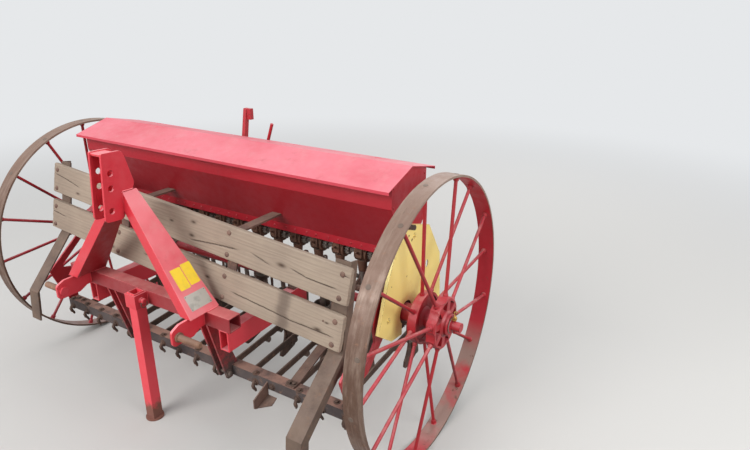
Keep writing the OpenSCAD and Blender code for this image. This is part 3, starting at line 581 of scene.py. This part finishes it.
def dome(bm, place, axis, width, height, steps=16):
    """A round head, as on a rivet or a carriage bolt."""
    r = width / 2
    turned(bm, [(0, -sunk), (r, -sunk), (r, height * 0.12), (r * 0.86, height * 0.55),
                (r * 0.5, height * 0.9), (0, height)], place, axis, steps)


# %% [markdown]
# ## Planks
# The two boards are the largest thing at the front, so they are real meshes: a fine lattice across the
# grain, a coarse one along it, corners worn round, and splits that are cut into the front. The splits
# and a damp stain are also written to the mesh as masks, so the colour follows the shape. The stain is
# darker wood; the dark in the splits is painted shade.

# %% Planks
plank_long, plank_wide, plank_thick = 1.806, 0.145, 0.028
plank_place = (Matrix.Translation(at(0, -0.336, 1.005)) @ Matrix.Rotation(math.radians(-10.7), 4, "X")
               @ Matrix.Rotation(math.radians(4.4), 4, "Y"))
lower_top = -0.187
upper_knots = [(0.589, -0.080, 0.017), (0.099, -0.038, 0.011), (0.095, -0.098, 0.012),
               (-0.034, -0.066, 0.009), (-0.52, -0.05, 0.012), (-0.70, -0.11, 0.010)]
lower_knots = [(0.798, -0.274, 0.014), (0.834, -0.234, 0.007), (0.21, -0.25, 0.010), (-0.42, -0.30, 0.012)]
upper_splits = [[(0.087, -0.119), (0.22, -0.101), (0.362, -0.085)], [(0.432, -0.077), (0.532, -0.098)],
                [(0.632, -0.079), (0.718, -0.093), (0.856, -0.092)],
                [(-0.89, -0.052), (-0.80, -0.060), (-0.69, -0.078)],
                [(-0.30, -0.112), (-0.15, -0.104)], [(0.86, -0.030), (0.903, -0.034)]]
lower_splits = [[(0.349, -0.273), (0.539, -0.278), (0.666, -0.285), (0.871, -0.280)],
                [(-0.903, -0.245), (-0.79, -0.252)], [(-0.20, -0.27), (0.02, -0.262)]]


def ripple(x, y, z):
    """Smooth noise between -1 and 1."""
    return noise.noise(Vector((x, y, z)))


def split_depth(splits, x, z):
    """How deep the splits are at a point of the board, from 0 to 1. They get shallow towards their ends."""
    taper, half_width = 0.03, 0.0019
    deepest = 0.0
    for line in splits:
        for (x0, z0), (x1, z1) in zip(line, line[1:]):
            if x0 <= x <= x1:
                share = (x - x0) / (x1 - x0)
                middle = z0 + share * (z1 - z0) + 0.0016 * ripple(x * 60, z0, 0)
                ends = min(1.0, (x - line[0][0]) / taper + 0.15, (line[-1][0] - x) / taper + 0.15)
                deepest = max(deepest, ends * math.exp(-((z - middle) / half_width) ** 2))
    return deepest


def board(name, node, finish, top, splits, wet, seed):
    """One board, as rings of points round it. Its top edge is at the height top of the planks' frame."""
    bm = bmesh.new()
    # This layer carries the splits' painted shade to the material.
    split_shade_layer = bm.verts.layers.float.new("split")
    wet_layer = bm.verts.layers.float.new("wet")
    columns, front_rows, back_rows = 150, 62, 20
    count = front_rows + back_rows
    deep_split = 0.0055
    stain_middle, stain_half = 0.625, 0.030
    rings = []
    for column in range(columns + 1):
        x = plank_long * (column / columns - 0.5)
        end = plank_long / 2 - abs(x)
        ring = []
        for row in range(count):
            front = row < front_rows
            share = row / (front_rows - 1) if front else 1 - (row - front_rows) / (back_rows - 1)
            z = top - plank_wide * share
            edge = min(share, 1 - share) * plank_wide
            wear = 0.0045 + 0.003 * ripple(x * 9, top * 50, seed)
            inset = max(0.0, wear - edge)
            worn = wear - math.sqrt(max(0.0, wear ** 2 - inset ** 2)) if edge < wear else 0.0
            worn += 0.004 * max(0.0, 1 - end / 0.007) ** 2
            depth = split_depth(splits, x, z) if front else 0.0
            grain = ripple(x * 7, z * 210, seed) * 0.00045
            warp = 0.0009 * ripple(x * 2.2, z * 12, seed + 5)
            y = worn + depth * deep_split + grain + warp if front else plank_thick - worn + grain
            slump = 0.0016 * ripple(x * 3.1, seed, 2.0) * (1 if share < 0.5 else -1)
            saw = 0.0022 * ripple(z * 40, y * 30, seed) * (end < 0.002)
            vert = bm.verts.new((x + saw, y, z + slump))
            vert[split_shade_layer] = min(1.0, depth * 1.3)
            ragged = stain_middle + 0.012 * ripple(z * 25, 3.0, seed)
            vert[wet_layer] = 0.7 * math.exp(-((x - ragged) / stain_half) ** 4) if wet else 0.0
            ring.append(vert)
        rings.append(ring)
    for low, high in zip(rings, rings[1:]):
        for k in range(count):
            bm.faces.new([low[k], low[(k + 1) % count], high[(k + 1) % count], high[k]])
    bm.faces.new(rings[0])
    bm.faces.new(list(reversed(rings[-1])))
    thing = made(name, bm, finish, 50)
    thing.matrix_world = plank_place
    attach(thing, "frame")
    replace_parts(thing, node)


upper_spruce = old_board("weathered_spruce_upper", upper_knots, 0.0)
lower_spruce = old_board("weathered_spruce_lower", lower_knots, 0.37)
board("board_upper", "plank_upper", upper_spruce, 0.0, upper_splits, False, 1.7)
board("board_lower", "plank_lower", lower_spruce, lower_top, lower_splits, True, 8.3)
print("two boards sawn")

# %% Plank bolts
bm = bmesh.new()
forward = plank_place.to_3x3() @ Vector((0, -1, 0))
behind_iron = plank_thick + 0.0075
for x in (0.869, 0.305, -0.375, -0.872):
    for z in (-0.028, -0.122, -0.217, -0.310):
        dome(bm, plank_place @ Vector((x, sunk, z)), forward, 0.023, 0.0065)
        hexagon(bm, plank_place @ Vector((x, behind_iron, z)), -forward, m10_flats, 0.008, thread=0.006)
dome(bm, plank_place @ Vector((0.817, sunk, -0.231)), forward, 0.010, 0.003)
finish_piece("plank_bolts", bm, brown_rust, "frame")

# %% [markdown]
# ## Wheel hardware
# Each spoke is a rod that is riveted through the rim. Outside, its hammered head is nearly flush with the
# tread. Inside, a shouldered nut sits against the rim, and a collar stands on the hub. Every other spoke
# leans the other way.

# %% Spoke ends
spokes = 16
hub_radius, rim_inner, rim_outer = 0.111, 0.601, 0.610
rim_nut = [(0, -0.020), (0.0095, -0.020), (0.012, -0.016), (0.012, -0.003), (0.015, 0.0006), (0, 0.0006)]
hub_collar = [(0, -0.003), (0.0105, -0.003), (0.0105, 0.010), (0.0085, 0.014), (0, 0.014)]
hammered_head = [(0, -0.001), (0.0108, -0.001), (0.0098, 0.0008), (0.005, 0.0013), (0, 0.0013)]


def spoke_ends(side, body, sign, first):
    """The ends of one wheel's spokes. first is the angle of its first spoke."""
    heads, nuts = bmesh.new(), bmesh.new()
    for k in range(spokes):
        angle = math.radians(first + k * 360 / spokes)
        out = Vector((0, math.sin(angle), math.cos(angle)))
        at_hub, at_rim = (0.042, 0.010) if k % 2 == 0 else (-0.043, -0.010)
        foot = Vector((sign * (wheel_x + at_hub), axle_y, axle_z)) + hub_radius * out
        rim_middle = Vector((sign * (wheel_x + at_rim), axle_y, axle_z))
        end = rim_middle + rim_inner * out
        run = (end - foot).normalized()
        turned(nuts, rim_nut, end, run, 8)
        turned(nuts, hub_collar, foot, run, 12)
        turned(heads, hammered_head, rim_middle + rim_outer * out, out, 14)
    finish_piece("rim_rivets_" + side, heads, rivet_steel, body)
    finish_piece("spoke_nuts_" + side, nuts, old_enamel, body)


spoke_ends("right", "wheel_right", 1, 14)
spoke_ends("left", "wheel_left", -1, -2.5)

# %% Axle ends
pin_x = 1.168
pin_head = [(0, 0), (0.0085, 0), (0.0085, 0.009), (0.005, 0.013), (0, 0.013)]
washer_ring = [(0.0206, 0), (0.034, 0), (0.036, 0.002), (0.034, 0.004), (0.0206, 0.004), (0.0206, 0)]
bm = bmesh.new()
for sign in (1, -1):
    ring = [at(sign * (pin_x + 0.005 * math.sin(3 * t)), 0.020 * math.cos(t), 0.655 + 0.017 * math.sin(t))
            for t in around(22)]
    bent(bm, ring, 0.0025, 6, closed=True)
    turned(bm, pin_head, at(sign * pin_x, 0, 0.641), (0, 0, 1), 12)
finish_piece("linchpin_rings", bm, brass, "frame")
bm = bmesh.new()
for sign in (1, -1):
    turned(bm, washer_ring, at(sign * 1.1525, 0, axle_z), (sign, 0, 0), 28)
finish_piece("hub_washers", bm, bare_steel, "frame")
print("wheels and axle ends fitted")

# %% [markdown]
# ## Gear cover hardware
# Three bolts, painted over, hold the cover on its spacers. A small rusty latch sits at its top, and an
# arc of sheet narrows its hole round the axle. The larger bare marks on the sheet are spots in its
# enamel.

# %% Cover bolts and latch
bm = bmesh.new()
for y, z in ((-0.150, 0.640), (0.060, 0.940), (0.145, 0.645)):
    hexagon(bm, at(cover_face, y, z), (1, 0, 0), m8_flats, 0.0055)
finish_piece("cover_bolts", bm, yellow_enamel, "frame")
# This turns an outline's x and y to the machine's y and z, and its thickness to x.
facing_right = Matrix(((0, 0, 1, 0), (1, 0, 0, 0), (0, 1, 0, 0), (0, 0, 0, 1)))
latch_turn = Matrix.Rotation(math.radians(-22), 4, "Z")
latch = Matrix.Translation(at(0.9441, 0.030, 0.986)) @ facing_right @ latch_turn
latch_outline = [(-0.045, -0.011), (0.030, -0.011), (0.038, -0.004), (0.038, 0.004), (0.030, 0.011),
                 (-0.045, 0.011)]
latch_thick = 0.004
bm = bmesh.new()
cut(bm, latch_outline, latch_thick, latch)
hexagon(bm, latch @ Vector((-0.030, 0, latch_thick)), (1, 0, 0), m8_flats, 0.005)
finish_piece("cover_latch", bm, dark_rust, "frame")
bm = bmesh.new()
arc = [(0.0970, 2.5 * k) for k in range(101)] + [(0.052, 230 - 5 * k) for k in range(47)]
arc = [(r * math.cos(math.radians(a)), r * math.sin(math.radians(a))) for r, a in arc]
cut(bm, arc, 0.0031, Matrix.Translation(at(0.941, 0, axle_z)) @ facing_right)
finish_piece("cover_collar", bm, collar_enamel, "frame")

# %% [markdown]
# ## Hopper hardware
# The end plates are bolted to the hopper's folded sheet, and the feed units hang from its base strip. The
# bolts of the end plates follow the sheet's outline.

# %% Hopper bolts
def along(points, step):
    """Places along a line of points, about a step apart, with one at each of the points."""
    places = []
    for (x0, y0), (x1, y1) in zip(points, points[1:]):
        count = max(1, round(math.hypot(x1 - x0, y1 - y0) / step))
        places += [(x0 + (x1 - x0) * k / count, y0 + (y1 - y0) * k / count) for k in range(count)]
    return places + [points[-1]]


row_step = 0.118
row_x = [(i - 7) * row_step for i in range(15)]
end_seam = [(-0.095, 1.180), (-0.095, 1.100), (-0.006, 0.900), (-0.006, 0.872),
            (0.091, 0.872), (0.091, 0.900), (0.165, 1.008), (0.165, 1.180)]
bm = bmesh.new()
for y, z in along(end_seam, 0.095):
    for sign in (1, -1):
        dome(bm, at(sign * 0.928, y, z), (sign, 0, 0), 0.012, 0.0035, 12)
for x in row_x:
    for shift in (-0.026, 0.026):
        dome(bm, at(x + shift, -0.020, 0.876), (0, -1, 0), 0.010, 0.003, 10)
        dome(bm, at(x + shift, 0.105, 0.876), (0, 1, 0), 0.010, 0.003, 10)
for sign in (1, -1):
    for y in (-0.045, 0.025, 0.085):
        hexagon(bm, at(sign * 0.915, y, 0.838), (sign, 0, 0), m10_flats, 0.007)
finish_piece("hopper_bolts", bm, old_enamel, "frame")

# %% Hinge rivets
bm = bmesh.new()
slope = Vector((0, 0.221, 0.975)).normalized()
ridge_y, ridge_z = 0.033, 1.237
back_z, back_reach = 1.191, 0.203
for fraction in (-0.757, -0.27, 0.27, 0.757):
    for shift in (-0.024, -0.008):
        x = fraction * 0.925 + shift
        for y in (0.192, 0.208):
            z = ridge_z + (y - ridge_y) * (back_z - ridge_z) / back_reach + 0.0032
            dome(bm, at(x, y, z), slope, 0.009, 0.002, 10)
finish_piece("lid_rivets", bm, lid_enamel, "lid")

# %% [markdown]
# ## Hitch hardware
# The hitch is welded, so beads run along its joints: overlapping puddles, painted over. The sleeve
# has a pin with a ring, the clamp plates have bolts across the front of the bar, and each axle strap has
# a bolt below.

# %% Weld beads
def bead(bm, start, end, radius=0.0032):
    """A weld bead from start to end, thicker and thinner along its run."""
    start, end = Vector(start), Vector(end)
    count = max(4, round((end - start).length / 0.0028))
    points = [start.lerp(end, k / count) for k in range(count + 1)]
    swell = [1 + 0.16 * math.sin(k * 2.1) + 0.12 * noise.noise(p * 90) for k, p in enumerate(points)]
    radii = [radius * (0.55 if k in (0, count) else swell[k]) for k in range(count + 1)]
    bent(bm, points, radii, 7)


middle_x = -0.100
# Each row is a bead that both sides have: x from the hitch's middle, y and z of its start, then of its end.
paired_beads = (
    (0.366, -0.503, 0.598, 0.366, -0.503, 0.658),
    (0.366, -0.585, 0.660, 0.366, -0.505, 0.660),
    (0.378, -0.503, 0.598, 0.378, -0.503, 0.658),
    (0.378, -0.585, 0.660, 0.378, -0.505, 0.660),
    (0.335, -0.498, 0.6603, 0.335, -0.442, 0.6603),
    (0.398, -0.498, 0.6603, 0.398, -0.442, 0.6603),
    (0.336, -0.5026, 0.6602, 0.397, -0.5026, 0.6602),
    (0.0403, -0.552, 1.046, 0.0403, -0.552, 1.124),
    (0.0403, -0.551, 1.1255, 0.0403, -0.500, 1.1255),
    (0.033, -0.5028, 0.597, 0.033, -0.5028, 0.656),
)
bm = bmesh.new()
for sign in (1, -1):
    for x0, y0, z0, x1, y1, z1 in paired_beads:
        bead(bm, at(middle_x + sign * x0, y0, z0), at(middle_x + sign * x1, y1, z1))
for x0, x1 in ((-0.490, -0.440), (0.350, 0.400)):
    bead(bm, at(x0 + 0.002, -0.500, 0.5948), at(x1 - 0.002, -0.500, 0.5948))
    for x in (x0, x1):
        bead(bm, at(x, -0.498, 0.5950), at(x, -0.440, 0.5950))
for x in (-0.370, -0.360, -0.320, -0.310, 0.225, 0.235, 0.270, 0.280):
    bead(bm, at(x, -0.492, 0.5948), at(x, -0.448, 0.5948), 0.0026)
finish_piece("hitch_welds", bm, hitch_enamel, "frame", angle=60)

# %% Pins and clamp bolts
pin_y = -0.5355
pin_end = [(0, 0.026), (0.008, 0.026), (0.008, 0.043), (0.013, 0.043), (0.013, 0.049), (0.009, 0.053),
           (0, 0.053)]
bm = bmesh.new()
for sign in (1, -1):
    turned(bm, pin_end, at(middle_x, pin_y, 0.627), (sign, 0, 0), 18)
finish_piece("sleeve_pin", bm, hitch_enamel, "frame")
clamps = ((-0.370, -0.310), (0.225, 0.280))
bm = bmesh.new()
loop = [at(middle_x + 0.047, pin_y + 0.016 * math.sin(t), 0.613 + 0.016 * math.cos(t)) for t in around(20)]
bent(bm, loop, 0.0020, 6, closed=True)
for x0, x1 in clamps:
    start, end = at(x0, -0.402, 0.300), at(x1, -0.402, 0.300)
    hexagon(bm, start, (-1, 0, 0), m12_flats, 0.010, thread=0.010)
    hexagon(bm, end, (1, 0, 0), m12_flats, 0.009)
    bent(bm, [start, end], 0.0065, 12)
for x in (0.375, -0.465):
    hexagon(bm, at(x, -0.049, 0.589), (0, 0, -1), m10_flats, 0.008, thread=0.006)
finish_piece("hitch_pins", bm, bolt_steel, "frame")
print("hitch fitted")

# %% [markdown]
# ## Blank stickers and plate
# The right beam carries two yellow stickers and a thin plate near its foot. They lie in the beam's
# leaning top face, so their places are counted down the beam from its upper corner.

# %% Stickers
beam_run = Vector((0.358, 0, -0.465)).normalized()
beam_face = Vector((0.792, 0, 0.610)).normalized()
beam_start = at(-0.060, 0, 1.125)


def laid(name, s0, s1, y0, y1, finish, thick, corner):
    """A sheet on the beam, from s0 to s1 down it and from y0 to y1 across it, with rounded corners."""
    bm = bmesh.new()
    outline = []
    for s, y, first in ((s0, y0, 180), (s1, y0, 270), (s1, y1, 0), (s0, y1, 90)):
        corner_s = s + corner if s == s0 else s - corner
        corner_y = y + corner if y == y0 else y - corner
        angles = [math.radians(first + t) for t in (0, 30, 60, 90)]
        outline += [(corner_s + corner * math.cos(a), corner_y + corner * math.sin(a)) for a in angles]
    placed = Matrix(((*beam_run, 0), (0, 1, 0, 0), (*beam_face, 0), (0, 0, 0, 1))).transposed()
    placed.translation = beam_start + beam_face * 0.0001
    cut(bm, outline, thick, placed)
    finish_piece(name, bm, finish, "frame")


laid("sticker_left", 0.370, 0.465, -0.555, -0.504, yellow_film, 0.0004, 0.004)
laid("sticker_right", 0.364, 0.460, -0.500, -0.450, yellow_film, 0.0004, 0.004)
laid("blank_plate", 0.489, 0.557, -0.560, -0.453, plate_aluminium, 0.0010, 0.003)
bm = bmesh.new()
for s in (0.494, 0.552):
    for y in (-0.555, -0.458):
        place = beam_start + beam_run * s + beam_face * 0.001 + Vector((0, y, 0))
        dome(bm, place, beam_face, 0.005, 0.0016, 10)
finish_piece("plate_rivets", bm, bare_steel, "frame")
print("stickers laid")

# %% [markdown]
# ## Coulter bar hardware
# Hook bolts hold the hinge rod's hangers under the bar. They are the dark lumps that hang along its front
# edge. There is none where a clamp or the bracket is. The bracket, a plate on edge with a short sloping
# floor, takes the place of the frame's plainer one.

# %% Hook bolts
taken = clamps + ((0.450, 0.550),)
margin = 0.020
hook_radii = [0.007, 0.008, 0.0085, 0.008, 0.0065, 0.005]
bm = bmesh.new()
for i in range(16):
    x = (i - 7.5) * row_step
    if any(x0 - margin < x < x1 + margin for x0, x1 in taken):
        continue
    lean = 0.004 * math.sin(i * 2.3)
    bent(bm, [at(x, -0.374, 0.3305), at(x, -0.374, 0.341)], 0.0055, 10)
    hexagon(bm, at(x, -0.372, 0.330), (0, 0, 1), m10_flats, 0.008)
    hook = [at(x + lean, -0.3815, 0.294), at(x + lean, -0.392, 0.291), at(x + lean, -0.397, 0.281),
            at(x + lean, -0.394, 0.268), at(x + 2 * lean, -0.386, 0.256), at(x + 3 * lean, -0.383, 0.246)]
    bent(bm, hook, hook_radii, 8)
    hexagon(bm, at(x + lean, -0.380, 0.2915), (0, -1, 0), m12_flats, 0.009)
hexagon(bm, at(0.508, -0.380, 0.300), (0, -1, 0), m10_flats, 0.007)
for x in (0.589, 0.611):
    hexagon(bm, at(x, -0.358, 0.338), (0, 0, 1), m10_flats, 0.008)
for x in (0.825, 0.865, -0.825, -0.865):
    hexagon(bm, at(x, -0.352, 0.330), (0, 0, 1), 0.015, 0.007)
finish_piece("bar_bolts", bm, dark_rust, "frame")

# %% Bracket
bracket_x, fold_y, fold_z = 0.479, -0.3795, 0.2475
bm = bmesh.new()
cut(bm, [(fold_y, 0.318), (fold_y, fold_z), (-0.456, 0.227), (-0.470, 0.235), (-0.470, 0.278)], 0.006,
    Matrix.Translation(at(bracket_x, 0, 0)) @ facing_right)
sloping = Matrix.Translation(at(bracket_x, fold_y, fold_z)) @ Matrix.Rotation(math.radians(15.9), 4, "X")
cut(bm, [(0, -0.080), (0.056, -0.040), (0.051, 0), (0, 0)], 0.005, sloping)
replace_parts(finish_piece("angle_bracket", bm, brown_rust, "frame"), "bar_bracket")

# %% [markdown]
# ## Coulter hardware
# Each coulter is bolted to its arm with two bolts, and its funnel has a rolled rim. All of this swings
# with the gang, so it is placed in the arms' own leaning frame.

# %% Coulter bolts and funnel rims
arm_frame = Matrix.Translation(at(0, -0.352, 0.292)) @ Matrix.Rotation(math.radians(4.5), 4, "X")
bolts, rims = bmesh.new(), bmesh.new()
side = arm_frame.to_3x3() @ Vector((1, 0, 0))
for i, x in enumerate(row_x):
    reach, radius, top = (0.642, 0.051, 0.220) if i % 2 == 0 else (0.412, 0.041, 0.172)
    for y in (-0.150, -0.055):
        for sign in (1, -1):
            hole = Vector((x + sign * 0.005, reach + y, -0.022))
            hexagon(bolts, arm_frame @ hole, side * sign, 0.015, 0.006)
    ring = [arm_frame @ Vector((x + radius * math.cos(t), reach + radius * math.sin(t), top - 0.001))
            for t in around(32)]
    bent(rims, ring, 0.0026, 6, closed=True)
    hexagon(bolts, arm_frame @ Vector((x + 0.042, 0.552, 0)), side, m8_flats, 0.006)
finish_piece("coulter_bolts", bolts, bolt_steel, "coulter_gang")
finish_piece("funnel_rims", rims, bare_steel, "coulter_gang")
print("coulters fitted")

# %% [markdown]
# ## Floor and light
# A pale floor without a visible edge: far from the machine it fades into the background. The light is an
# overcast sky, bright overhead and dimmer low down, with three large soft lamps. The sky has one look for
# the camera and for reflections, a plain pale grey, and another for lighting.

# %% Floor
def seen_directly(tree):
    """1 for what the camera, a reflection or a transparent layer sees, 0 for light that is scattered."""
    path = add(tree, "ShaderNodeLightPath").node.outputs
    seen = maths(tree, "MAXIMUM", path["Is Camera Ray"], path["Is Glossy Ray"])
    return maths(tree, "MAXIMUM", seen, path["Is Transmission Ray"])


background = "#E6E8EA"
fade_start, fade_end = 2.6, 7.5
floor_paint, tree, surface = start_material("floor")
seen = seen_directly(tree)
tree.links.new(coats(tree, "#9A948C", (seen, "#C0BEBA")), surface["Base Color"])
surface["Roughness"].default_value = 0.9
far = vectors(tree, "LENGTH", add(tree, "ShaderNodeTexCoord", out="Object"))
fade = ramp(tree, far, fade_start, fade_end, smooth=True)
glow = add(tree, "ShaderNodeEmission", {"Color": linear(background), "Strength": 1.0})
plain = surface["Base Color"].node.outputs[0]
mixed = add(tree, "ShaderNodeMixShader", {0: both(tree, fade, seen), 1: plain, 2: glow})
output = [n for n in tree.nodes if n.type == "OUTPUT_MATERIAL"][0]
tree.links.new(mixed, output.inputs["Surface"])
mesh = bpy.data.meshes.new("floor")
half = 14.0
corners = [(-half, -half, 0), (half, -half, 0), (half, half, 0), (-half, half, 0)]
mesh.from_pydata(corners, [], [(0, 1, 2, 3)])
mesh.materials.append(floor_paint)
floor = bpy.data.objects.new("floor", mesh)
bpy.context.scene.collection.objects.link(floor)

# %% Sky
world = bpy.data.worlds.new("sky")
bpy.context.scene.world = world
world.use_nodes = True
tree = world.node_tree
tree.nodes.clear()
upward = add(tree, "ShaderNodeSeparateXYZ", {0: add(tree, "ShaderNodeTexCoord", out="Generated")}, out="Z")
level = add(tree, "ShaderNodeMapRange", {"Value": upward, "From Min": 0.0, "From Max": 0.9, "To Min": 0.35,
            "To Max": 0.95})
light = add(tree, "ShaderNodeBackground", {"Color": linear("#EEF1F6"), "Strength": level})
shown = add(tree, "ShaderNodeBackground", {"Color": linear(background), "Strength": 1.0})
mixed = add(tree, "ShaderNodeMixShader", {0: seen_directly(tree), 1: light, 2: shown})
add(tree, "ShaderNodeOutputWorld", {"Surface": mixed})

# %% Lamps
aimed_at = Vector((0, 0, 0.65))
lamps = (
    ("key", (-1.64, -6.54, 4.67), 5.45, 540),
    ("fill", (4.8, -0.4, 3.0), 3.0, 110),
    ("back", (0.2, 4.6, 4.2), 4.0, 110),
)
for name, place, size, watts in lamps:
    data = bpy.data.lights.new(name, "AREA")
    data.shape = "DISK"
    data.size = size
    data.energy = watts
    lamp = bpy.data.objects.new(name, data)
    lamp.location = place
    lamp.rotation_euler = (aimed_at - Vector(place)).to_track_quat("-Z", "Y").to_euler()
    bpy.context.scene.collection.objects.link(lamp)
print(len(lamps), "lamps")

# %% Render settings
bpy.context.scene.view_settings.view_transform = "Standard"
